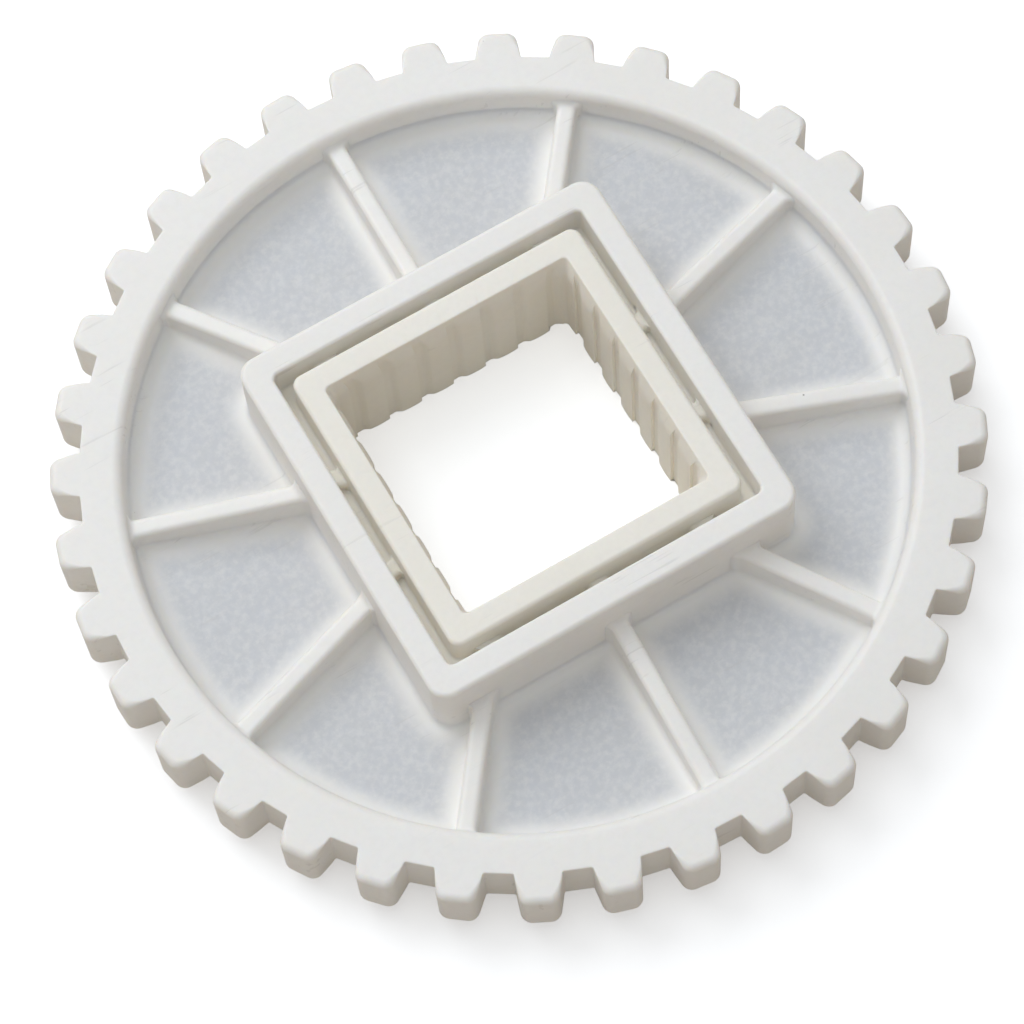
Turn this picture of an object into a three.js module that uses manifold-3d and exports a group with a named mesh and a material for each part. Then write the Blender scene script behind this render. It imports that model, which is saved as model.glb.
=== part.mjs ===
// Square-bore toothed drive wheel, one plastic moulding divided into its named features.
// Units are millimetres. +Z is the bore axis and z = 0 is halfway along the hub.
// The sides of the square bore are parallel to X and Y.
import * as THREE from 'three';
import { mergeVertices } from 'three/addons/utils/BufferGeometryUtils.js';
import Module from 'manifold-3d';

// Toothed rim
const toothCount = 36;
const tipRadius = 71.6;
const rootRadius = 67;
const rootHalfAngle = 3.1;
const tipHalfWidth = 2.85;
const tipCornerRadius = 1.6;
const toothPhase = 52.4;
const rimTop = 4;
const rimBottom = -7;
const rimInnerRadius = 60.4;
const rimEdgeBevel = 1.1;
const undersideBevel = 0.5;

// Web, the thin floor between the rim and the hub
const webRadius = 59.7;
const webTop = -3;
const webBottom = -5.5;

// Ribs that stand on the web and slope down from the hub to the rim. They carry on as
// low level bridges on the floor of the hub gap.
const ribCount = 10;
const ribPhase = 16.4;
const ribThickness = 3;
const ribTopAtHub = 3.8;
const ribTopAtRim = 1.4;
const gapFloorTop = 4.5;
const bridgeTop = 6.5;

// Hub, two square walls one inside the other with a narrow gap between them
const hubHalfLength = 11;
const outerWallHalf = 31.5;
const outerWallCorner = 3.2;
const gapHalf = 27.1;
const gapCorner = 1.1;
const sleeveHalf = 25.2;
const sleeveCorner = 1.8;
const wallEdgeBevel = 0.5;

// Square bore, each face is a row of flat lands with shallow recesses between them
const boreHalf = 20.25;
const landsPerFace = 7;
const recessDepth = 0.5;
const landShare = 0.55;
const recessShare = 0.2;
const firstLandShare = 0.45;
const leadInSize = 0.9;
const leadInDepth = 5;

// Facets
const roundFacets = 180;
const cornerFacets = 4;

// Surface finish of the plastic
const plasticColour = 0xe8e7e2;
const plasticRoughness = 0.48;

const wasm = await Module();
wasm.setup();

function toSolid(geometry) {
  const bare = geometry.clone();
  bare.deleteAttribute('normal');
  bare.deleteAttribute('uv');
  const welded = mergeVertices(bare, 1e-5);
  return new wasm.Manifold(new wasm.Mesh({
    numProp: 3,
    vertProperties: new Float32Array(welded.attributes.position.array),
    triVerts: new Uint32Array(welded.index.array),
  }));
}

function toMesh(name, solid) {
  const result = solid.getMesh();
  const indexed = new THREE.BufferGeometry();
  indexed.setAttribute('position', new THREE.BufferAttribute(new Float32Array(result.vertProperties), 3));
  indexed.setIndex(new THREE.BufferAttribute(new Uint32Array(result.triVerts), 1));
  const geometry = indexed.toNonIndexed();
  geometry.computeVertexNormals();
  const material = new THREE.MeshStandardMaterial({
    color: plasticColour,
    roughness: plasticRoughness,
    metalness: 0,
  });
  const mesh = new THREE.Mesh(geometry, material);
  mesh.name = name;
  return mesh;
}

function polar(radius, degrees) {
  const angle = THREE.MathUtils.degToRad(degrees);
  return new THREE.Vector2(radius * Math.cos(angle), radius * Math.sin(angle));
}

// A straight prism from z = low to z = high, with bevelled ends when bevel is more than zero.
function prism(shape, low, high, bevel = 0) {
  const geometry = new THREE.ExtrudeGeometry(shape, {
    depth: high - low - 2 * bevel,
    bevelEnabled: bevel > 0,
    bevelThickness: bevel,
    bevelSize: bevel,
    bevelOffset: -bevel,
    bevelSegments: 1,
    curveSegments: cornerFacets,
  });
  geometry.translate(0, 0, low + bevel);
  return toSolid(geometry);
}

// A solid of revolution about Z. The profile is a list of [radius, height] pairs
// that starts and ends on the axis.
function turned(profile) {
  const points = profile.map(([radius, height]) => new THREE.Vector2(radius, height));
  const geometry = new THREE.LatheGeometry(points, roundFacets);
  geometry.rotateX(Math.PI / 2);
  return toSolid(geometry);
}

function roundedSquare(half, corner, path = new THREE.Shape()) {
  path.moveTo(half, -half + corner);
  path.lineTo(half, half - corner);
  path.quadraticCurveTo(half, half, half - corner, half);
  path.lineTo(-half + corner, half);
  path.quadraticCurveTo(-half, half, -half, half - corner);
  path.lineTo(-half, -half + corner);
  path.quadraticCurveTo(-half, -half, -half + corner, -half);
  path.lineTo(half - corner, -half);
  path.quadraticCurveTo(half, -half, half, -half + corner);
  return path;
}

// The outline of the wheel: tapered teeth with rounded tip corners and arcs at the root.
function toothedOutline() {
  const pitch = 360 / toothCount;
  const outline = new THREE.Shape();
  for (let tooth = 0; tooth < toothCount; tooth += 1) {
    const centre = toothPhase + tooth * pitch;
    const radial = polar(1, centre);
    const across = new THREE.Vector2(-radial.y, radial.x);
    const place = (along, side) => new THREE.Vector2(
      radial.x * along + across.x * side,
      radial.y * along + across.y * side,
    );
    const rootIn = polar(rootRadius, centre - rootHalfAngle);
    const rootOut = polar(rootRadius, centre + rootHalfAngle);
    const tipIn = place(tipRadius, -tipHalfWidth);
    const tipOut = place(tipRadius, tipHalfWidth);
    const flankIn = tipIn.clone().sub(rootIn).setLength(tipCornerRadius);
    const flankOut = tipOut.clone().sub(rootOut).setLength(tipCornerRadius);
    const startIn = tipIn.clone().sub(flankIn);
    const endIn = place(tipRadius, -tipHalfWidth + tipCornerRadius);
    const startOut = place(tipRadius, tipHalfWidth - tipCornerRadius);
    const endOut = tipOut.clone().sub(flankOut);
    if (tooth === 0) {
      outline.moveTo(rootIn.x, rootIn.y);
    }
    outline.lineTo(startIn.x, startIn.y);
    outline.quadraticCurveTo(tipIn.x, tipIn.y, endIn.x, endIn.y);
    outline.lineTo(startOut.x, startOut.y);
    outline.quadraticCurveTo(tipOut.x, tipOut.y, endOut.x, endOut.y);
    outline.lineTo(rootOut.x, rootOut.y);
    const halfGap = pitch / 2 - rootHalfAngle;
    const bulge = rootRadius / Math.cos(THREE.MathUtils.degToRad(halfGap));
    const middle = polar(bulge, centre + pitch / 2);
    const nextRoot = polar(rootRadius, centre + pitch - rootHalfAngle);
    outline.quadraticCurveTo(middle.x, middle.y, nextRoot.x, nextRoot.y);
  }
  return outline;
}

// The square bore with its lands. Seen from above and going clockwise, a land ends in a
// sharp step back to a recess, and a ramp leads from the recess to the next land.
function boreOutline() {
  const pitch = 2 * boreHalf / landsPerFace;
  const points = [];
  for (let face = 0; face < 4; face += 1) {
    const turn = THREE.MathUtils.degToRad(-90 * face);
    const add = (along, depth) => {
      const point = new THREE.Vector2(boreHalf + depth, boreHalf - along);
      points.push(point.rotateAround(new THREE.Vector2(0, 0), turn));
    };
    add(0, 0);
    for (let land = 0; land < landsPerFace; land += 1) {
      const step = (land + firstLandShare) * pitch;
      add(step, 0);
      add(step, recessDepth);
      add(step + recessShare * pitch, recessDepth);
      add(step + (1 - landShare) * pitch, 0);
    }
  }
  return new THREE.Shape(points);
}

// A square funnel that widens the end of the bore at z = high.
function leadIn(high) {
  const inner = boreHalf - leadInSize * 0.2;
  const outer = boreHalf + leadInSize;
  const wide = outer + (outer - inner) * 0.1 / leadInDepth;
  const geometry = new THREE.CylinderGeometry(wide * Math.SQRT2, inner * Math.SQRT2, leadInDepth + 0.1, 4);
  geometry.rotateY(Math.PI / 4);
  geometry.rotateX(Math.PI / 2);
  geometry.translate(0, 0, high - leadInDepth / 2 + 0.05);
  return toSolid(geometry);
}

// An upright bar that runs out from the axis on the web. Its top passes through one height
// at the hub and another at the rim.
function radialBar(degrees, topAtHub, topAtRim) {
  const slope = (topAtRim - topAtHub) / (rimInnerRadius - outerWallHalf);
  const side = new THREE.Shape();
  side.moveTo(0, webTop);
  side.lineTo(rootRadius, webTop);
  side.lineTo(rootRadius, topAtHub + slope * (rootRadius - outerWallHalf));
  side.lineTo(0, topAtHub - slope * outerWallHalf);
  const geometry = new THREE.ExtrudeGeometry(side, { depth: ribThickness, bevelEnabled: false });
  geometry.translate(0, 0, -ribThickness / 2);
  geometry.rotateX(Math.PI / 2);
  geometry.rotateZ(THREE.MathUtils.degToRad(degrees));
  return toSolid(geometry);
}

const margin = 2;

// The space inside the rim: a bevel at each end and an upright band that holds the web.
const insideRim = turned([
  [0, rimBottom - margin],
  [webRadius + undersideBevel, rimBottom - margin],
  [webRadius + undersideBevel, rimBottom],
  [webRadius, rimBottom + undersideBevel],
  [webRadius, webTop],
  [rimInnerRadius, rimTop - rimEdgeBevel],
  [rimInnerRadius + rimEdgeBevel, rimTop],
  [rimInnerRadius + rimEdgeBevel, rimTop + margin],
  [0, rimTop + margin],
]);
const webDisc = turned([
  [0, webBottom],
  [webRadius, webBottom],
  [webRadius, webTop],
  [0, webTop],
]);

const hubBlock = prism(
  roundedSquare(outerWallHalf, outerWallCorner),
  -hubHalfLength,
  hubHalfLength,
);

const outerWallShape = roundedSquare(outerWallHalf, outerWallCorner);
outerWallShape.holes.push(roundedSquare(gapHalf, gapCorner, new THREE.Path()));
const outerWall = prism(outerWallShape, -hubHalfLength, hubHalfLength, wallEdgeBevel);

const sleeveBody = prism(
  roundedSquare(sleeveHalf, sleeveCorner),
  -hubHalfLength,
  hubHalfLength,
  wallEdgeBevel,
);
const boreCut = prism(boreOutline(), -hubHalfLength - margin, hubHalfLength + margin);
const topLeadIn = leadIn(hubHalfLength);
const bottomLeadIn = topLeadIn.mirror([0, 0, 1]);
const boreSleeve = sleeveBody.subtract(boreCut).subtract(topLeadIn).subtract(bottomLeadIn);

const gapShape = roundedSquare(gapHalf, gapCorner);
gapShape.holes.push(roundedSquare(sleeveHalf, sleeveCorner, new THREE.Path()));
const gapFloor = prism(gapShape, webBottom, gapFloorTop);
const gapSpace = prism(gapShape, gapFloorTop, hubHalfLength);

const toothedDisc = prism(toothedOutline(), rimBottom, rimTop);

const wheel = new THREE.Group();
wheel.name = 'toothed_wheel';
wheel.add(toMesh('toothed_rim', toothedDisc.subtract(insideRim)));
wheel.add(toMesh('web', webDisc.subtract(hubBlock)));
wheel.add(toMesh('outer_hub_wall', outerWall));
wheel.add(toMesh('gap_floor', gapFloor));
wheel.add(toMesh('bore_sleeve', boreSleeve));

for (let rib = 0; rib < ribCount; rib += 1) {
  const degrees = ribPhase + rib * 360 / ribCount;
  const number = String(rib + 1).padStart(2, '0');
  const ribSolid = radialBar(degrees, ribTopAtHub, ribTopAtRim).intersect(insideRim).subtract(hubBlock);
  const bridgeSolid = radialBar(degrees, bridgeTop, bridgeTop).intersect(gapSpace);
  wheel.add(toMesh(`rib_${number}`, ribSolid));
  wheel.add(toMesh(`bridge_${number}`, bridgeSolid));
}

export default wheel;
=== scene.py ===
import math

import bpy
import numpy as np
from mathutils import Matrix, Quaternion, Vector


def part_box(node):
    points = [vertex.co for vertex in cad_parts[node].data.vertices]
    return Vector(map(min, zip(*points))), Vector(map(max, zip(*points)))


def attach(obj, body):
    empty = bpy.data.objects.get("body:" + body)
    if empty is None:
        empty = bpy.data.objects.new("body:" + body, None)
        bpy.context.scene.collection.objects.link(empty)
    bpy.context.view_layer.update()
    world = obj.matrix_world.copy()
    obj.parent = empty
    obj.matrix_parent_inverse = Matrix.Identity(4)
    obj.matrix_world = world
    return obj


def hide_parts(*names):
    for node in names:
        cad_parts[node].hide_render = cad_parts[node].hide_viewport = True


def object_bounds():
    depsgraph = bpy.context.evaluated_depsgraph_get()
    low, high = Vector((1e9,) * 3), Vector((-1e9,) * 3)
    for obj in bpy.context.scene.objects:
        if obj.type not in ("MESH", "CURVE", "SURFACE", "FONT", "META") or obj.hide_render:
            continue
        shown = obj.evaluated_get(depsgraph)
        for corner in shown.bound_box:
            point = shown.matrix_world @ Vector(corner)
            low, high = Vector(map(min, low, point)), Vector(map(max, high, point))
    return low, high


# Looks of a square-bore toothed drive wheel, one plastic moulding, around its CAD model.
# Shapes are worked out in millimetres and turned into metres as each mesh is made.
# A closed surface is a stack of loops. Each loop is an array of points round the axis.

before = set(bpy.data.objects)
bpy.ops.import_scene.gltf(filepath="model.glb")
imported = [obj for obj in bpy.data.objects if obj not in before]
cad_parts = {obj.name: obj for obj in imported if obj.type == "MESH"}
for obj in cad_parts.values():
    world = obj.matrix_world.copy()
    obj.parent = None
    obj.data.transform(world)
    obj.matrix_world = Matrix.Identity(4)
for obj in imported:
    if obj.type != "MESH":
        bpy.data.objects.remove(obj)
cad_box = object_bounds()

MM = 0.001


def node_box(cad_node):
    low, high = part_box(cad_node)
    return np.array(low) / MM, np.array(high) / MM


RIM_LOW, RIM_HIGH = node_box("toothed_rim")
WEB_LOW, WEB_HIGH = node_box("web")
WALL_LOW, WALL_HIGH = node_box("outer_hub_wall")
GAP_HIGH = node_box("gap_floor")[1]
SLEEVE_HIGH = node_box("bore_sleeve")[1]
BRIDGE_HIGH = node_box("bridge_01")[1]

# Toothed rim
TOOTH_COUNT = 36
TIP_RADIUS = 71.6
ROOT_RADIUS = 67.0
ROOT_HALF_ANGLE = math.radians(3.1)
TIP_HALF_WIDTH = 2.85
TIP_CORNER = 1.7
ROOT_FILLET = 0.35
TOOTH_PHASE = math.radians(52.4)
RIM_TOP = RIM_HIGH[2]
RIM_BOTTOM = RIM_LOW[2]
TIP_EDGE = 1.25
ROOT_EDGE = 0.22
ROOT_EDGE_UNTIL = ROOT_RADIUS + 0.8
TIP_EDGE_FROM = ROOT_RADIUS + 4.2
UNDERSIDE_EDGE_SHARE = 0.7
FACE_RADIUS = 66.3
RIM_INNER_EDGE = 1.6
UNDERSIDE_EDGE = 0.5

# Web, and the inner wall of the rim above it
WEB_RADIUS = WEB_HIGH[0]
WEB_TOP = WEB_HIGH[2]
WEB_BOTTOM = WEB_LOW[2]
WALL_CLEARANCE = 0.25
WALL_DRAFT = 0.09
RIM_FOOT = 2.2
HUB_FOOT = 1.0
RIB_FOOT = 0.9
UNDERSIDE_FOOT = 1.0
UNDERSIDE_FOOT_DROP = 1.3
FOOT_CLIMB = 8.0
FOOT_CLIMB_END = 0.8
FOOT_POWER = 3.0
OVERLAP = 0.06
POCKET_SHADE_FROM = 0.2
POCKET_SHADE_TO = 4.5

# Ribs and bridges
RIB_COUNT = 10
RIB_PHASE = math.radians(16.4)
RIB_HALF = 1.5
RIB_TOP_AT_HUB = 3.8
RIB_TOP_AT_RIM = 1.4
RIB_EDGE = 0.85
RIB_FLARE = 1.1
RIB_END_FOOT = 0.8
RIB_INTO_HUB = 1.6
RIB_INTO_RIM = 0.9
GAP_TOP = GAP_HIGH[2]
BRIDGE_TOP = BRIDGE_HIGH[2]
BRIDGE_FLARE = 0.7
BRIDGE_END_FOOT = 0.3
BRIDGE_INTO_WALL = 1.4
BAR_ROOT = 0.6
RIB_UPRIGHT = 4.2
BRIDGE_UPRIGHT = 1.5

# Hub
HUB_TOP = WALL_HIGH[2]
HUB_BOTTOM = WALL_LOW[2]
WALL_HALF = WALL_HIGH[0]
WALL_CORNER = 3.2
WALL_OUTER_EDGE = 0.8
WALL_INNER_EDGE = 0.55
GAP_HALF = GAP_HIGH[0]
GAP_CORNER = 1.1
GAP_FOOT = 0.45
GAP_OVERLAP_SHARE = 0.03
SLEEVE_HALF = SLEEVE_HIGH[0]
SLEEVE_CORNER = 1.8
SLEEVE_EDGE = 0.7

# Bore lining
BORE_HALF = 20.25
LANDS_PER_FACE = 7
LAND_PITCH = 2 * BORE_HALF / LANDS_PER_FACE
FIRST_LAND = 0.45
RECESS_DEPTH = 0.6
RECESS_SHARE = 0.2
RAMP_END = 0.45
LAND_CROWN = 0.1
BORE_CORNER = 0.8
BORE_CORNER_MARGIN = 0.1
BORE_CORNER_RUN = 1.2
LEAD_IN_SIZE = 0.95
LEAD_IN_DEPTH = 4.6
LEAD_IN_BLEND = 0.3
LEAD_IN_EDGE = 0.3
LEAD_IN_CURVE = 1.3
BOTTOM_EDGE = 0.2

# Search and sampling
HALVINGS = 40
WIDTH_HALVINGS = 24
BAR_STATIONS = 64
POCKET_COLUMNS = 56
POCKET_ROWS = 44
FAR = 1000.0


# Shape helpers

def smooth_step(value, low, high):
    t = np.clip((value - low) / (high - low), 0.0, 1.0)
    return t * t * (3 - 2 * t)


def smooth_min(a, b, reach):
    h = np.maximum(reach - np.abs(a - b), 0.0) / reach
    return np.minimum(a, b) - h * h * reach / 4


def smooth_max(a, b, reach):
    return -smooth_min(-a, -b, reach)


def foot(distance, radius):
    """Height of a concave fillet at a distance from an upright wall. Inside the wall it climbs on."""
    inside = np.clip(distance, 0.0, radius)
    arc = radius - np.sqrt(np.maximum(radius ** 2 - (radius - inside) ** 2, 0.0))
    return arc + np.minimum(FOOT_CLIMB * np.maximum(-distance, 0.0), FOOT_CLIMB_END)


def eased(count):
    """Steps from 0 to 1 that are short at both ends."""
    return (1 - np.cos(np.linspace(0.0, math.pi, count))) / 2


def quarter(count):
    """Angles of a quarter turn, both ends included."""
    return np.linspace(0.0, math.pi / 2, count)


def square_distance(x, y, half, corner):
    """Signed distance from a rounded square, more than zero outside it."""
    dx = np.abs(x) - (half - corner)
    dy = np.abs(y) - (half - corner)
    outside = np.hypot(np.maximum(dx, 0.0), np.maximum(dy, 0.0))
    return outside + np.minimum(np.maximum(dx, dy), 0.0) - corner


def rounded_outline(corners, straight_steps, arc_steps):
    """A closed outline from (x, y, radius) corners, counter-clockwise, with arcs at the corners."""
    points = []
    count = len(corners)
    arcs = []
    for i in range(count):
        before = np.array(corners[i - 1][:2])
        here = np.array(corners[i][:2])
        after = np.array(corners[(i + 1) % count][:2])
        radius = corners[i][2]
        into = (before - here) / np.linalg.norm(before - here)
        out = (after - here) / np.linalg.norm(after - here)
        half = math.acos(np.clip(into @ out, -1.0, 1.0)) / 2
        reach = radius / math.tan(half)
        middle = here + (into + out) / np.linalg.norm(into + out) * radius / math.sin(half)
        start = here + into * reach - middle
        end = here + out * reach - middle
        a0 = math.atan2(start[1], start[0])
        sweep = (math.atan2(end[1], end[0]) - a0 + math.pi) % (2 * math.pi) - math.pi
        angles = a0 + sweep * np.linspace(0.0, 1.0, arc_steps + 1)
        arcs.append(middle + radius * np.column_stack([np.cos(angles), np.sin(angles)]))
    for i in range(count):
        points.extend(arcs[i])
        start = arcs[i][-1]
        end = arcs[(i + 1) % count][0]
        for t in np.linspace(0.0, 1.0, straight_steps + 1)[1:-1]:
            points.append(start + (end - start) * t)
    return np.array(points)


def outward(outline):
    """Unit normals of a counter-clockwise outline."""
    along = np.roll(outline, -1, axis=0) - np.roll(outline, 1, axis=0)
    normals = np.column_stack([along[:, 1], -along[:, 0]])
    return normals / np.linalg.norm(normals, axis=1)[:, None]


def loop(outline, height):
    heights = np.broadcast_to(height, len(outline))
    return np.column_stack([outline, heights])


def square_outline(half, corner, side_steps=10, arc_steps=8):
    signs = ((1, -1), (1, 1), (-1, 1), (-1, -1))
    corners = [(half * sx, half * sy, corner) for sx, sy in signs]
    return rounded_outline(corners, side_steps, arc_steps)


def rounding(outline, height, radius, up, rising, steps=5):
    """Loops that round the edge of an upright wall. With up the material lies below height."""
    normals = outward(outline)
    radius = np.broadcast_to(radius, len(outline))
    side = -1.0 if up else 1.0
    loops = []
    for angle in quarter(steps):
        inset = (radius * (1 - math.cos(angle)))[:, None]
        drop = side * radius * (1 - math.sin(angle))
        loops.append(loop(outline - normals * inset, height + drop))
    return loops if rising else loops[::-1]


def add_piece(name, cad_node, vertices, faces, material, sharp_angle=35):
    """A closed mesh in metres that rides with the wheel and stands for its CAD node."""
    mesh = bpy.data.meshes.new(name)
    mesh.from_pydata((np.asarray(vertices) * MM).tolist(), [], faces)
    mesh.validate()
    mesh.polygons.foreach_set("use_smooth", [True] * len(mesh.polygons))
    mesh.set_sharp_from_angle(angle=math.radians(sharp_angle))
    mesh.materials.append(material)
    piece = bpy.data.objects.new(name, mesh)
    bpy.context.scene.collection.objects.link(piece)
    shading = piece.modifiers.new("shading", "WEIGHTED_NORMAL")
    shading.keep_sharp = True
    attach(piece, "root")
    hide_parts(cad_node)
    return piece


def ring_faces(loop_count, size):
    """Quads that join a stack of closed loops, the last back to the first."""
    faces = []
    for j in range(loop_count):
        base = j * size
        following = ((j + 1) % loop_count) * size
        for i in range(size):
            turned = (i + 1) % size
            faces.append((base + i, base + turned, following + turned, following + i))
    return faces


def add_ring(name, cad_node, loops, material, sharp_angle=35):
    """A ring-shaped closed surface. Loops run up the outside, over the top and down the inside."""
    vertices = np.vstack(loops)
    faces = ring_faces(len(loops), len(loops[0]))
    return add_piece(name, cad_node, vertices, faces, material, sharp_angle)


# Toothed rim

def tooth_outline():
    """The outline of the wheel, counter-clockwise."""
    corners = []
    pitch = 2 * math.pi / TOOTH_COUNT
    for tooth in range(TOOTH_COUNT):
        centre = TOOTH_PHASE + tooth * pitch
        radial = np.array([math.cos(centre), math.sin(centre)])
        across = np.array([-radial[1], radial[0]])
        for side, turn in ((-1, -ROOT_HALF_ANGLE), (1, ROOT_HALF_ANGLE)):
            root = ROOT_RADIUS * np.array([math.cos(centre + turn), math.sin(centre + turn)])
            tip = radial * TIP_RADIUS + across * side * TIP_HALF_WIDTH
            pair = [(*root, ROOT_FILLET), (*tip, TIP_CORNER)]
            corners.extend(pair if side < 0 else pair[::-1])
    return rounded_outline(corners, 5, 6)


def circle_like(outline, radius):
    """Points on a circle at the same polar angles as an outline."""
    return outline / np.linalg.norm(outline, axis=1)[:, None] * radius


def rim_wall_radius(height):
    """Radius of the rim's inner wall, which opens upwards a little."""
    return WEB_RADIUS + WALL_CLEARANCE + WALL_DRAFT * (height - WEB_TOP)


FOOT_RADIUS = rim_wall_radius(WEB_TOP + RIM_FOOT)


def toothed_rim(material):
    outline = tooth_outline()
    radius = np.linalg.norm(outline, axis=1)
    share = smooth_step(radius, ROOT_EDGE_UNTIL, TIP_EDGE_FROM)
    edge = ROOT_EDGE + (TIP_EDGE - ROOT_EDGE) * share
    under_edge = edge * UNDERSIDE_EDGE_SHARE
    loops = rounding(outline, RIM_BOTTOM, under_edge, up=False, rising=False)
    loops += rounding(outline, RIM_TOP, edge, up=True, rising=True, steps=7)
    edge_height = RIM_TOP - RIM_INNER_EDGE
    edge_radius = rim_wall_radius(edge_height)
    for r in (FACE_RADIUS, FACE_RADIUS - 2.2):
        loops.append(loop(circle_like(outline, r), RIM_TOP))
    for angle in quarter(8)[::-1]:
        r = edge_radius + RIM_INNER_EDGE * (1 - math.cos(angle))
        loops.append(loop(circle_like(outline, r), edge_height + RIM_INNER_EDGE * math.sin(angle)))
    for height in (edge_height - 1.5, edge_height - 3.0, WEB_TOP, WEB_TOP - 0.4):
        loops.append(loop(circle_like(outline, rim_wall_radius(height)), height))
    for angle in quarter(4):
        r = WEB_RADIUS + UNDERSIDE_EDGE * (1 - math.cos(angle))
        height = RIM_BOTTOM + UNDERSIDE_EDGE * (1 - math.sin(angle))
        loops.append(loop(circle_like(outline, r), height))
    loops.append(loop(circle_like(outline, FACE_RADIUS), RIM_BOTTOM))
    return add_ring("toothed_rim_moulded", "toothed_rim", loops, material)


# Distances to the walls that stand on the web

def rib_angle(number):
    return RIB_PHASE + 2 * math.pi * number / RIB_COUNT


def rib_distance(x, y):
    """Distance from the side of the nearest rib, more than zero outside it."""
    nearest = np.full(np.shape(x), FAR)
    for number in range(RIB_COUNT):
        angle = rib_angle(number)
        along = x * math.cos(angle) + y * math.sin(angle)
        across = np.abs(y * math.cos(angle) - x * math.sin(angle))
        nearest = np.minimum(nearest, np.where(along > 0, across - RIB_HALF, FAR))
    return nearest


def wall_distance(x, y):
    return square_distance(x, y, WALL_HALF, WALL_CORNER)


def corner_space(to_rib, to_rim, to_hub):
    """How far a place is into the pocket. Where it is zero the side of the rib stands."""
    walls = np.minimum(to_rim, to_hub)
    return smooth_min(to_rib, walls, RIB_FLARE)


# Web

def pocket_grid(number, columns, rows):
    """Places between a rib and the next one, from the hub wall out to the rim."""
    start = rib_angle(number)
    end = rib_angle(number + 1)
    offset = RIB_HALF - OVERLAP

    def side_line(angle, side, distance):
        return (
            distance * math.cos(angle) - side * offset * math.sin(angle),
            distance * math.sin(angle) + side * offset * math.cos(angle),
        )

    def meets_hub(angle, side):
        low = 0.0
        high = FOOT_RADIUS
        for _ in range(HALVINGS):
            middle = (low + high) / 2
            if wall_distance(*side_line(angle, side, middle)) < -OVERLAP:
                low = middle
            else:
                high = middle
        return np.array(side_line(angle, side, high))

    first = meets_hub(start, 1)
    last = meets_hub(end, -1)
    hub = hub_path(first, last, eased(columns))
    rim_radius = FOOT_RADIUS + OVERLAP
    turn = math.asin(offset / rim_radius)
    angles = start + turn + (end - start - 2 * turn) * eased(columns)
    rim = rim_radius * np.column_stack([np.cos(angles), np.sin(angles)])
    steps = eased(rows)
    return hub[:, None, :] + (rim - hub)[:, None, :] * steps[None, :, None]


def hub_path(first, last, steps):
    """Points along the hub wall from one place to another, at the given shares of its length."""
    outline = square_outline(WALL_HALF - OVERLAP, WALL_CORNER - OVERLAP, side_steps=60, arc_steps=16)
    polar = np.arctan2(outline[:, 1], outline[:, 0])
    begin = math.atan2(first[1], first[0])
    sweep = (math.atan2(last[1], last[0]) - begin) % (2 * math.pi)
    turned = (polar - begin) % (2 * math.pi)
    between = np.argsort(turned)
    between = between[(turned[between] > 1e-4) & (turned[between] < sweep - 1e-4)]
    path = np.vstack([first, outline[between], last])
    lengths = np.concatenate([[0.0], np.cumsum(np.linalg.norm(np.diff(path, axis=0), axis=1))])
    wanted = steps * lengths[-1]
    return np.column_stack([np.interp(wanted, lengths, path[:, k]) for k in (0, 1)])


def web_height(x, y):
    to_rim = FOOT_RADIUS - np.hypot(x, y)
    to_hub = wall_distance(x, y)
    to_side = corner_space(rib_distance(x, y), to_rim, to_hub)
    feet = foot(to_rim, RIM_FOOT) ** FOOT_POWER
    feet = feet + foot(to_hub, HUB_FOOT) ** FOOT_POWER
    feet = feet + foot(to_side, RIB_FOOT) ** FOOT_POWER
    return WEB_TOP + feet ** (1 / FOOT_POWER)


def web_underside(x, y):
    to_rim = WEB_RADIUS - np.hypot(x, y)
    to_hub = wall_distance(x, y)
    feet = foot(to_rim, UNDERSIDE_FOOT) ** FOOT_POWER
    feet = feet + foot(to_hub, UNDERSIDE_FOOT) ** FOOT_POWER
    return WEB_BOTTOM - np.minimum(feet ** (1 / FOOT_POWER), UNDERSIDE_FOOT_DROP)


def web(material):
    """The floor between rim and hub. Its thin attribute is 1 in the middle of each pocket, where the
    web's colour takes a darker, bluer tint: partly the real look of a thin wall that lets light
    through, partly painted shade of the sunk pocket and painted cool skylight.
    """
    rows = POCKET_ROWS
    plan = np.vstack([pocket_grid(number, POCKET_COLUMNS, rows) for number in range(RIB_COUNT)])
    x = plan[:, :, 0]
    y = plan[:, :, 1]
    top = web_height(x, y)
    under = web_underside(x, y)
    loops = [np.column_stack([x[:, j], y[:, j], under[:, j]]) for j in range(rows)]
    loops += [np.column_stack([x[:, j], y[:, j], top[:, j]]) for j in reversed(range(rows))]
    piece = add_ring("web_moulded", "web", loops, material, sharp_angle=60)
    # Painted shade: the share of the darker, bluer tint, zero at the ribs and walls and full in the
    # middle of each pocket.
    to_rim = FOOT_RADIUS - np.hypot(x, y)
    to_side = corner_space(rib_distance(x, y), to_rim, wall_distance(x, y))
    thin = smooth_step(to_side, POCKET_SHADE_FROM, POCKET_SHADE_TO)
    shares = np.concatenate([thin.T, thin.T[::-1]]).ravel()
    attribute = piece.data.attributes.new("thin", "FLOAT", "POINT")
    attribute.data.foreach_set("value", shares)


# Ribs and bridges

def bar_widths(direction, across, stations, levels, side_of):
    """Half widths of both sides of a bar at each station and level, where side_of is zero."""
    widths = []
    along = stations[:, None]
    for side in (-1, 1):
        low = np.full((len(stations), len(levels)), RIB_HALF - 1e-3)
        high = np.full_like(low, RIB_HALF + RIB_FLARE)
        for _ in range(WIDTH_HALVINGS):
            middle = (low + high) / 2
            x = along * direction[0] + side * middle * across[0]
            y = along * direction[1] + side * middle * across[1]
            inside = side_of(x, y, middle - RIB_HALF, levels[None, :]) < 0
            low = np.where(inside, middle, low)
            high = np.where(inside, high, middle)
        widths.append(high)
    return widths


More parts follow.
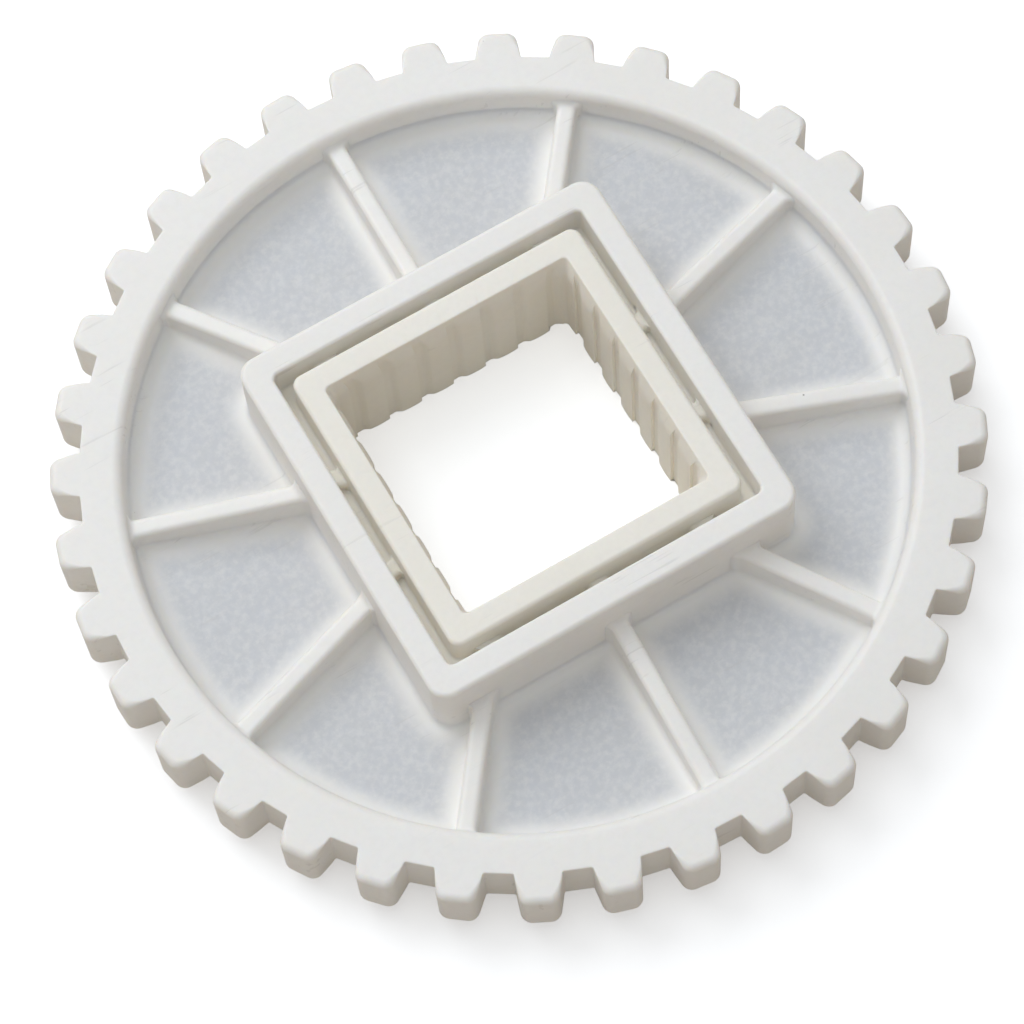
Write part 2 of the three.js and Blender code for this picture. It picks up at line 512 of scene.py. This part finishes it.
def bar_side(half, levels):
    """One side of a bar's section: (width, height or None at the top, drop from the top)."""
    upright = [(half[k], levels[k], 0.0) for k in range(len(levels))]
    top = half[-1]
    arc = [(top - RIB_EDGE * (1 - math.cos(a)), None, RIB_EDGE * (1 - math.sin(a))) for a in quarter(6)]
    flat = [((top - RIB_EDGE) * share, None, 0.0) for share in (0.66, 0.33)]
    return upright + arc + flat


def bar_faces(row_count, size):
    """Quads along a bar and one face at each end."""
    faces = []
    for j in range(row_count - 1):
        base = j * size
        for i in range(size):
            turned = (i + 1) % size
            faces.append((base + i, base + size + i, base + size + turned, base + turned))
    end = (row_count - 1) * size
    faces.append(tuple(range(size)))
    faces.append(tuple(range(end, end + size))[::-1])
    return faces


def bar(cad_node, angle, reach, side_of, top_of, bottom, upright, material):
    """A radial bar that flares at its ends, with rounded top edges."""
    direction = np.array([math.cos(angle), math.sin(angle)])
    across = np.array([-direction[1], direction[0]])
    stations = reach[0] + (reach[1] - reach[0]) * eased(BAR_STATIONS)
    levels = bottom + upright * np.linspace(0.0, 1.0, 4)
    widths = bar_widths(direction, across, stations, levels, side_of)
    rows = []
    for i, station in enumerate(stations):
        right = [(-width, level, drop) for width, level, drop in bar_side(widths[0][i], levels)]
        left = bar_side(widths[1][i], levels)[::-1]
        for offset, level, drop in right + left:
            place = direction * station + across * offset
            height = top_of(station, *place) - drop if level is None else level
            rows.append((*place, height))
    faces = bar_faces(len(stations), len(rows) // len(stations))
    return add_piece(f"{cad_node}_moulded", cad_node, rows, faces, material, sharp_angle=50)


def crossing(angle, half, corner):
    """Distance from the axis to a rounded square along a direction."""
    low = 0.0
    high = 2 * half
    for _ in range(HALVINGS):
        middle = (low + high) / 2
        if square_distance(middle * math.cos(angle), middle * math.sin(angle), half, corner) < 0:
            low = middle
        else:
            high = middle
    return high


def rib(number, material):
    angle = rib_angle(number - 1)
    rim_radius = rim_wall_radius(RIB_TOP_AT_RIM)
    slope = (RIB_TOP_AT_RIM - RIB_TOP_AT_HUB) / (rim_radius - WALL_HALF)

    def side_of(x, y, to_side, level):
        to_rim = rim_wall_radius(level) - np.hypot(x, y)
        return corner_space(to_side, to_rim, wall_distance(x, y))

    def top_of(station, x, y):
        to_rim = np.maximum(rim_radius - math.hypot(x, y), 0.0)
        to_hub = np.maximum(wall_distance(x, y), 0.0)
        rise = foot(to_rim, RIB_END_FOOT) + foot(to_hub, RIB_END_FOOT)
        return RIB_TOP_AT_HUB + slope * (station - WALL_HALF) + float(rise)

    start = crossing(angle, WALL_HALF, WALL_CORNER) - RIB_INTO_HUB
    reach = (start, rim_wall_radius(0.0) + RIB_INTO_RIM)
    cad_node = f"rib_{number:02d}"
    return bar(cad_node, angle, reach, side_of, top_of, WEB_TOP - BAR_ROOT, RIB_UPRIGHT, material)


def bridge(number, material):
    angle = rib_angle(number - 1)

    def to_walls(x, y):
        to_wall = -square_distance(x, y, GAP_HALF, GAP_CORNER)
        to_sleeve = square_distance(x, y, SLEEVE_HALF, SLEEVE_CORNER)
        return to_wall, to_sleeve

    def side_of(x, y, to_side, level):
        return smooth_min(to_side, np.minimum(*to_walls(x, y)), BRIDGE_FLARE)

    def top_of(station, x, y):
        feet = [foot(np.maximum(distance, 0.0), BRIDGE_END_FOOT) for distance in to_walls(x, y)]
        return BRIDGE_TOP + float(sum(feet))

    start = crossing(angle, SLEEVE_HALF, SLEEVE_CORNER) - BRIDGE_INTO_WALL
    reach = (start, crossing(angle, GAP_HALF, GAP_CORNER) + BRIDGE_INTO_WALL)
    cad_node = f"bridge_{number:02d}"
    return bar(cad_node, angle, reach, side_of, top_of, GAP_TOP - BAR_ROOT, BRIDGE_UPRIGHT, material)


# Hub

def outer_hub_wall(material):
    outer = square_outline(WALL_HALF, WALL_CORNER, side_steps=24, arc_steps=12)
    inner = square_outline(GAP_HALF, GAP_CORNER, side_steps=24, arc_steps=12)
    loops = rounding(outer, HUB_BOTTOM, WALL_OUTER_EDGE, up=False, rising=False)
    loops += rounding(outer, HUB_TOP, WALL_OUTER_EDGE, up=True, rising=True, steps=7)
    loops += inner_rounding(inner, HUB_TOP, WALL_INNER_EDGE, top=True)
    loops += inner_rounding(inner, HUB_BOTTOM, WALL_INNER_EDGE, top=False)
    return add_ring("outer_hub_wall_moulded", "outer_hub_wall", loops, material)


def inner_rounding(outline, height, radius, top, steps=5):
    """Loops that round the edge of an opening, from the face into it, or out of it at the bottom."""
    normals = outward(outline)
    side = -1.0 if top else 1.0
    loops = []
    for angle in quarter(steps):
        widen = radius * (1 - math.cos(angle))
        drop = side * radius * (1 - math.sin(angle))
        loops.append(loop(outline + normals * widen, height + drop))
    return loops[::-1] if top else loops


def gap_floor(material):
    shares = np.concatenate([[-GAP_OVERLAP_SHARE], eased(11), [1 + GAP_OVERLAP_SHARE]])
    width = GAP_HALF - SLEEVE_HALF
    bottoms = []
    tops = []
    for share in shares:
        half = SLEEVE_HALF + width * share
        corner = SLEEVE_CORNER + (GAP_CORNER - SLEEVE_CORNER) * share
        outline = square_outline(half, corner, side_steps=16, arc_steps=8)
        rise = float(foot(share * width, GAP_FOOT) + foot((1 - share) * width, GAP_FOOT))
        bottoms.append(loop(outline, WEB_BOTTOM - rise))
        tops.append(loop(outline, GAP_TOP + rise))
    return add_ring("gap_floor_moulded", "gap_floor", bottoms + tops[::-1], material, sharp_angle=60)


# Bore sleeve

def land_profile(share):
    """Depth of the bore wall at a share of one pitch, counted from the sharp step."""
    recess = RECESS_DEPTH * (1 - smooth_step(share, RECESS_SHARE, RAMP_END))
    recess = recess + LAND_CROWN * share / RAMP_END
    middle = (RAMP_END + 1) / 2
    crown = LAND_CROWN * ((share - middle) / (1 - middle)) ** 2
    return np.where(share < RAMP_END, recess, crown)


def face_samples():
    """Places along one face of the bore, with the corner's and the lands' depths at each."""
    inside_pitch = np.concatenate([
        [0.004, 0.03, 0.08, 0.14, 0.2, 0.24, 0.28, 0.32, 0.36, 0.4, 0.44],
        np.linspace(0.48, 0.94, 11),
        [0.965, 0.982, 0.993, 0.999],
    ])
    corner_angles = np.radians([45.0, 30.0, 15.0, 0.0])
    corner_places = BORE_CORNER * (1 - np.sin(corner_angles))
    corner_depths = -BORE_CORNER * (1 - np.cos(corner_angles))
    length = 2 * BORE_HALF
    starts = np.arange(-1, LANDS_PER_FACE)[:, None] + FIRST_LAND
    places = ((starts + inside_pitch) * LAND_PITCH).ravel()
    kept = BORE_CORNER + BORE_CORNER_MARGIN
    places = places[(places > kept) & (places < length - kept)]
    lands = land_profile((places / LAND_PITCH - FIRST_LAND) % 1.0)
    to_corner = np.minimum(places, length - places)
    faded = smooth_step(to_corner, BORE_CORNER, BORE_CORNER + BORE_CORNER_RUN)
    lands = lands * np.where(lands < LAND_CROWN + 1e-6, faded, 1.0)
    start = np.zeros(len(corner_places))
    end = start[1:]
    corners = np.concatenate([corner_depths, np.zeros(len(lands)), corner_depths[:0:-1]])
    lands = np.concatenate([start, lands, end])
    places = np.concatenate([corner_places, places, length - corner_places[:0:-1]])
    return places, corners, lands


def four_faces(places, depths, widening=0.0):
    """The bore's outline, counter-clockwise, with the wall at the given depth at each place."""
    points = []
    for face in range(4):
        turn = -math.pi / 2 * face
        out = np.array([math.cos(turn), math.sin(turn)])
        along = np.array([math.sin(turn), -math.cos(turn)])
        for place, depth in zip(places, depths):
            side = (place - BORE_HALF) * (1 + widening / BORE_HALF)
            points.append(along * side + out * (BORE_HALF + depth))
    return np.array(points)[::-1]


def bore_outline(lead):
    """The bore where its lead-in stands back by lead from the lands."""
    places, corners, lands = face_samples()
    widened = smooth_max(lands, np.full(len(lands), lead), LEAD_IN_BLEND)
    widening = float(smooth_max(0.0, lead, LEAD_IN_BLEND))
    return four_faces(places, corners + widened, widening)


def sleeve_outline():
    """The sleeve's outside, with one point at the polar angle of each point of the bore."""
    places = face_samples()[0]
    plain = four_faces(places, np.zeros(len(places)))
    outer = square_outline(SLEEVE_HALF, SLEEVE_CORNER, side_steps=60, arc_steps=16)
    polar = np.unwrap(np.arctan2(outer[:, 1], outer[:, 0]))
    wanted = np.unwrap(np.arctan2(plain[:, 1], plain[:, 0]))
    turns = 2 * math.pi
    stacked = np.concatenate([polar - turns, polar, polar + turns])
    radii = np.tile(np.linalg.norm(outer, axis=1), 3)
    order = np.argsort(stacked)
    matched = np.interp(wanted, stacked[order], radii[order])
    return np.column_stack([np.cos(wanted), np.sin(wanted)]) * matched[:, None]


def bore_sleeve(material):
    outline = sleeve_outline()
    loops = rounding(outline, HUB_BOTTOM, SLEEVE_EDGE, up=False, rising=False)
    loops += rounding(outline, HUB_TOP, SLEEVE_EDGE, up=True, rising=True, steps=7)
    for angle in quarter(4)[::-1]:
        lead = LEAD_IN_SIZE + LEAD_IN_EDGE * (1 - math.cos(angle))
        loops.append(loop(bore_outline(lead), HUB_TOP - LEAD_IN_EDGE * (1 - math.sin(angle))))
    for share in np.linspace(1.0, 0.0, 15)[1:]:
        lead = (LEAD_IN_SIZE + LEAD_IN_BLEND) * share ** LEAD_IN_CURVE - LEAD_IN_BLEND
        loops.append(loop(bore_outline(lead), HUB_TOP - LEAD_IN_EDGE - LEAD_IN_DEPTH * (1 - share)))
    for angle in quarter(4):
        lead = BOTTOM_EDGE * (1 - math.cos(angle)) - LEAD_IN_BLEND
        loops.append(loop(bore_outline(lead), HUB_BOTTOM + BOTTOM_EDGE * (1 - math.sin(angle))))
    return add_ring("bore_sleeve_moulded", "bore_sleeve", loops, material, sharp_angle=40)


# Materials, with lengths in metres

CLOUD_SCALE = 55.0
GRAIN_SCALE = 900.0
RIPPLE_SCALE = 230.0
SPECK_SCALE = 95.0
FINE_SPECK_SCALE = 330.0
SPECK_COLOUR = (0.23, 0.2, 0.17, 1.0)
FINE_SPECK_COLOUR = (0.38, 0.33, 0.27, 1.0)
HAIRLINE_COLOUR = (0.55, 0.53, 0.5, 1.0)
PLAIN_WHITE = (1.0, 1.0, 1.0, 1.0)


def add_node(tree, kind, **settings):
    made = tree.nodes.new(kind)
    for key, value in settings.items():
        setattr(made, key, value)
    return made


def wired(tree, made, **inputs):
    """Sets a node's inputs by name. A value is a number, a colour or another node's output."""
    for key, value in inputs.items():
        socket = made.inputs[key.replace("_", " ")]
        if isinstance(value, bpy.types.NodeSocket):
            tree.links.new(value, socket)
        else:
            socket.default_value = value
    return made


def noise(tree, place, scale, detail=4.0, roughness=0.5):
    made = add_node(tree, "ShaderNodeTexNoise")
    wired(tree, made, Vector=place, Scale=scale, Detail=detail, Roughness=roughness)
    return made.outputs["Fac"]


def ramp(tree, value, low, high, start=0.0, end=1.0):
    made = add_node(tree, "ShaderNodeMapRange", interpolation_type="SMOOTHSTEP")
    wired(tree, made, Value=value)
    made.inputs["From Min"].default_value = low
    made.inputs["From Max"].default_value = high
    made.inputs["To Min"].default_value = start
    made.inputs["To Max"].default_value = end
    return made.outputs["Result"]


def maths(tree, operation, first, second=0.0):
    made = add_node(tree, "ShaderNodeMath", operation=operation)
    for socket, value in zip(made.inputs, (first, second)):
        if isinstance(value, bpy.types.NodeSocket):
            tree.links.new(value, socket)
        else:
            socket.default_value = value
    return made.outputs[0]


def blend(tree, factor, first, second):
    made = add_node(tree, "ShaderNodeMix", data_type="RGBA")
    pairs = ((made.inputs[0], factor), (made.inputs[6], first), (made.inputs[7], second))
    for socket, value in pairs:
        if isinstance(value, bpy.types.NodeSocket):
            tree.links.new(value, socket)
        else:
            socket.default_value = value
    return made.outputs[2]


def specks(tree, place, scale, size, share):
    """Small round marks, one in some of the cells of a pattern."""
    cells = add_node(tree, "ShaderNodeTexVoronoi", feature="F1")
    wired(tree, cells, Vector=place, Scale=scale)
    split = add_node(tree, "ShaderNodeSeparateColor")
    wired(tree, split, Color=cells.outputs["Color"])
    chosen = maths(tree, "LESS_THAN", split.outputs["Red"], share)
    grown = maths(tree, "MULTIPLY", split.outputs["Green"], size)
    edge = maths(tree, "SUBTRACT", grown, cells.outputs["Distance"])
    inside = ramp(tree, edge, 0.0, size * 0.35)
    return maths(tree, "MULTIPLY", chosen, inside)


def hairlines(tree, place, turn, scale, share):
    """Fine straight hairlines in one direction, in patches."""
    mapping = add_node(tree, "ShaderNodeMapping")
    wired(tree, mapping, Vector=place)
    mapping.inputs["Rotation"].default_value = (0.2, 0.1, turn)
    mapping.inputs["Scale"].default_value = (1.0, 26.0, 8.0)
    lines = noise(tree, mapping.outputs["Vector"], scale, detail=2.0)
    thin = ramp(tree, lines, share, share + 0.03)
    patch = ramp(tree, noise(tree, place, 90.0, detail=1.0), 0.52, 0.64)
    return maths(tree, "MULTIPLY", thin, patch)


def add_pocket_shade(tree, body, pocket_shade_colour):
    """The body colour times a darker, bluer tint where the mesh's thin attribute is high: partly the
    look of a thin wall that lets light through, partly painted shade of the sunk pocket and painted
    cool skylight.
    """
    thin = add_node(tree, "ShaderNodeAttribute", attribute_name="thin").outputs["Fac"]
    painted_pocket_shade = blend(tree, thin, PLAIN_WHITE, pocket_shade_colour)
    made = add_node(tree, "ShaderNodeMix", data_type="RGBA", blend_type="MULTIPLY")
    made.inputs[0].default_value = 1.0
    tree.links.new(body, made.inputs[6])
    tree.links.new(painted_pocket_shade, made.inputs[7])
    return made.outputs[2]


def overlaid(tree, body, mask, strength, colour):
    return blend(tree, maths(tree, "MULTIPLY", mask, strength), body, colour)


def summed(tree, first, second, factor, operation="ADD"):
    """First plus or minus second times factor."""
    return maths(tree, operation, first, maths(tree, "MULTIPLY", second, factor))


def moulded_plastic(name, colour, shade, speck_share, wear, pocket_shade_colour=None):
    """Natural engineering plastic: satin, faintly cloudy, with specks and handling marks.
    A thin wall lets light through and looks darker; its tint is also made darker and bluer as painted
    shade of a sunk pocket and painted cool skylight."""
    material = bpy.data.materials.new(name)
    material.use_nodes = True
    tree = material.node_tree
    shader = tree.nodes["Principled BSDF"]
    place = add_node(tree, "ShaderNodeTexCoord").outputs["Object"]
    cloud = noise(tree, place, CLOUD_SCALE, detail=3.0)
    grain = noise(tree, place, GRAIN_SCALE, detail=4.0, roughness=0.6)
    marks = specks(tree, place, SPECK_SCALE, 0.034, speck_share)
    fine = specks(tree, place, FINE_SPECK_SCALE, 0.055, speck_share * 0.35)
    hair = hairlines(tree, place, 0.6, 60.0, 0.66)
    hair = maths(tree, "MAXIMUM", hair, hairlines(tree, place, 2.3, 45.0, 0.67))

    body = blend(tree, ramp(tree, cloud, 0.35, 0.68), shade, colour)
    # Painted shade and painted cool skylight on thin walls, partly the real look of a thin wall.
    if pocket_shade_colour:
        body = add_pocket_shade(tree, body, pocket_shade_colour)
    dull = tuple(0.93 * c for c in colour[:3]) + (1.0,)
    body = blend(tree, ramp(tree, grain, 0.35, 0.75, 0.0, 0.35), body, dull)
    body = overlaid(tree, body, marks, 0.75, SPECK_COLOUR)
    body = overlaid(tree, body, fine, 0.4, FINE_SPECK_COLOUR)
    body = overlaid(tree, body, hair, wear * 0.25, HAIRLINE_COLOUR)

    rough = summed(tree, ramp(tree, cloud, 0.3, 0.7, 0.38, 0.5), grain, 0.06)
    rough = summed(tree, rough, hair, 0.12 * wear)

    height = maths(tree, "MULTIPLY", grain, 0.35)
    height = summed(tree, height, noise(tree, place, RIPPLE_SCALE), 0.8)
    height = summed(tree, height, hair, 0.5 * wear, "SUBTRACT")
    height = summed(tree, height, marks, 0.5, "SUBTRACT")
    bump = add_node(tree, "ShaderNodeBump")
    wired(tree, bump, Height=height, Strength=0.28, Distance=0.00012)

    wired(tree, shader, Base_Color=body, Roughness=rough, Normal=bump.outputs["Normal"])
    shader.inputs["IOR"].default_value = 1.48
    shader.inputs["Specular IOR Level"].default_value = 0.45
    shader.inputs["Subsurface Weight"].default_value = 0.4
    shader.inputs["Subsurface Radius"].default_value = (1.0, 0.8, 0.55)
    shader.inputs["Subsurface Scale"].default_value = 0.0011
    return material


# Studio

CAMERA_PLACE = Vector((-0.10095, -0.21748, 0.59691))
CAMERA_TARGET = Vector((-0.00516, -0.00695, 0.0))
CAMERA_ROLL = math.radians(-6.14)
CAMERA_LENS = 147.66
SENSOR_WIDTH = 36.0
FLOOR_HALF = 2.5
PAPER_SEEN = (0.85, 0.85, 0.85, 1.0)
PAPER_BOUNCE = (0.66, 0.62, 0.56, 1.0)
PAPER_GLOW = 0.42
SKY_LOW = (1.0, 0.78, 0.56, 1.0)
SKY_HIGH = (0.86, 0.93, 1.0, 1.0)
SKY_STRENGTH = 0.45


def add_camera():
    data = bpy.data.cameras.new("camera")
    data.lens = CAMERA_LENS
    data.sensor_width = SENSOR_WIDTH
    data.clip_start = 0.01
    data.clip_end = 10.0
    camera = bpy.data.objects.new("camera", data)
    look = (CAMERA_TARGET - CAMERA_PLACE).to_track_quat("-Z", "Y")
    camera.rotation_mode = "QUATERNION"
    camera.rotation_quaternion = look @ Quaternion((0.0, 0.0, 1.0), CAMERA_ROLL)
    camera.location = CAMERA_PLACE
    bpy.context.scene.collection.objects.link(camera)
    bpy.context.scene.camera = camera


def add_light(name, place, size, watts, colour):
    data = bpy.data.lights.new(name, "AREA")
    data.shape = "DISK"
    data.size = size
    data.energy = watts
    data.color = colour
    lamp = bpy.data.objects.new(name, data)
    lamp.location = place
    lamp.rotation_mode = "QUATERNION"
    lamp.rotation_quaternion = (-Vector(place)).to_track_quat("-Z", "Y")
    bpy.context.scene.collection.objects.link(lamp)


def add_floor():
    """White paper that glows a little for the camera and is duller to the light it bounces."""
    height = cad_box[0].z
    signs = ((-1, -1), (1, -1), (1, 1), (-1, 1))
    corners = [(FLOOR_HALF * sx, FLOOR_HALF * sy, height) for sx, sy in signs]
    mesh = bpy.data.meshes.new("floor")
    mesh.from_pydata(corners, [], [(0, 1, 2, 3)])
    material = bpy.data.materials.new("floor_white")
    material.use_nodes = True
    tree = material.node_tree
    shader = tree.nodes["Principled BSDF"]
    seen = add_node(tree, "ShaderNodeLightPath").outputs["Is Camera Ray"]
    paper = blend(tree, seen, PAPER_BOUNCE, PAPER_SEEN)
    glow = maths(tree, "MULTIPLY", seen, PAPER_GLOW)
    wired(tree, shader, Base_Color=paper, Emission_Strength=glow)
    shader.inputs["Roughness"].default_value = 0.9
    shader.inputs["Specular IOR Level"].default_value = 0.0
    shader.inputs["Emission Color"].default_value = PLAIN_WHITE
    mesh.materials.append(material)
    floor = bpy.data.objects.new("floor", mesh)
    bpy.context.scene.collection.objects.link(floor)


def add_world():
    world = bpy.data.worlds.new("studio")
    world.use_nodes = True
    tree = world.node_tree
    background = tree.nodes["Background"]
    split = add_node(tree, "ShaderNodeSeparateXYZ")
    wired(tree, split, Vector=add_node(tree, "ShaderNodeTexCoord").outputs["Generated"])
    height = ramp(tree, split.outputs["Z"], 0.05, 0.8)
    sky = blend(tree, height, SKY_LOW, SKY_HIGH)
    wired(tree, background, Color=sky, Strength=SKY_STRENGTH)
    bpy.context.scene.world = world


def add_studio():
    add_camera()
    add_floor()
    add_world()
    add_light("key", (-0.2, 0.72, 0.9), 0.9, 6.6, (0.93, 0.96, 1.0))
    add_light("overhead", (-0.15, 0.1, 1.5), 1.1, 4.3, (0.9, 0.95, 1.0))
    cycles = bpy.context.scene.cycles
    cycles.diffuse_bounces = 8
    cycles.max_bounces = 12
    view = bpy.context.scene.view_settings
    view.view_transform = "Standard"
    view.look = "None"
    view.exposure = 0.0
    view.gamma = 1.0


# The wheel

THICK = ((0.90, 0.88, 0.845, 1.0), (0.885, 0.862, 0.82, 1.0))
# Warmer, yellower copy of the same plastic for the bore sleeve, gap floor and bridges: painted warm
# shade of light bounced round the bore and the gap.
BORE_WARM_SHADE = ((0.90, 0.865, 0.79, 1.0), (0.88, 0.84, 0.755, 1.0))
# Darker, bluer tint for the web in the pockets: painted shade of the sunk pocket and painted cool
# skylight, partly the real look of a thin wall.
POCKET_SHADE_TINT = (0.67, 0.69, 0.735, 1.0)
plastic = moulded_plastic("natural_acetal", *THICK, 0.16, 1.0)
# The bore sleeve, gap floor and bridges take the copy with the painted warm shade.
bore_shaded_plastic = moulded_plastic("natural_acetal_bore_painted_warm_shade", *BORE_WARM_SHADE, 0.1, 0.6)
# The web's plastic, with the painted pocket shade.
pocket_shaded_plastic = moulded_plastic("natural_acetal_thin_with_painted_shade", *THICK, 0.16, 0.8, POCKET_SHADE_TINT)

toothed_rim(plastic)
web(pocket_shaded_plastic)
outer_hub_wall(plastic)
gap_floor(bore_shaded_plastic)
bore_sleeve(bore_shaded_plastic)
for number in range(1, RIB_COUNT + 1):
    rib(number, plastic)
    bridge(number, bore_shaded_plastic)

add_studio()

bpy.context.view_layer.update()
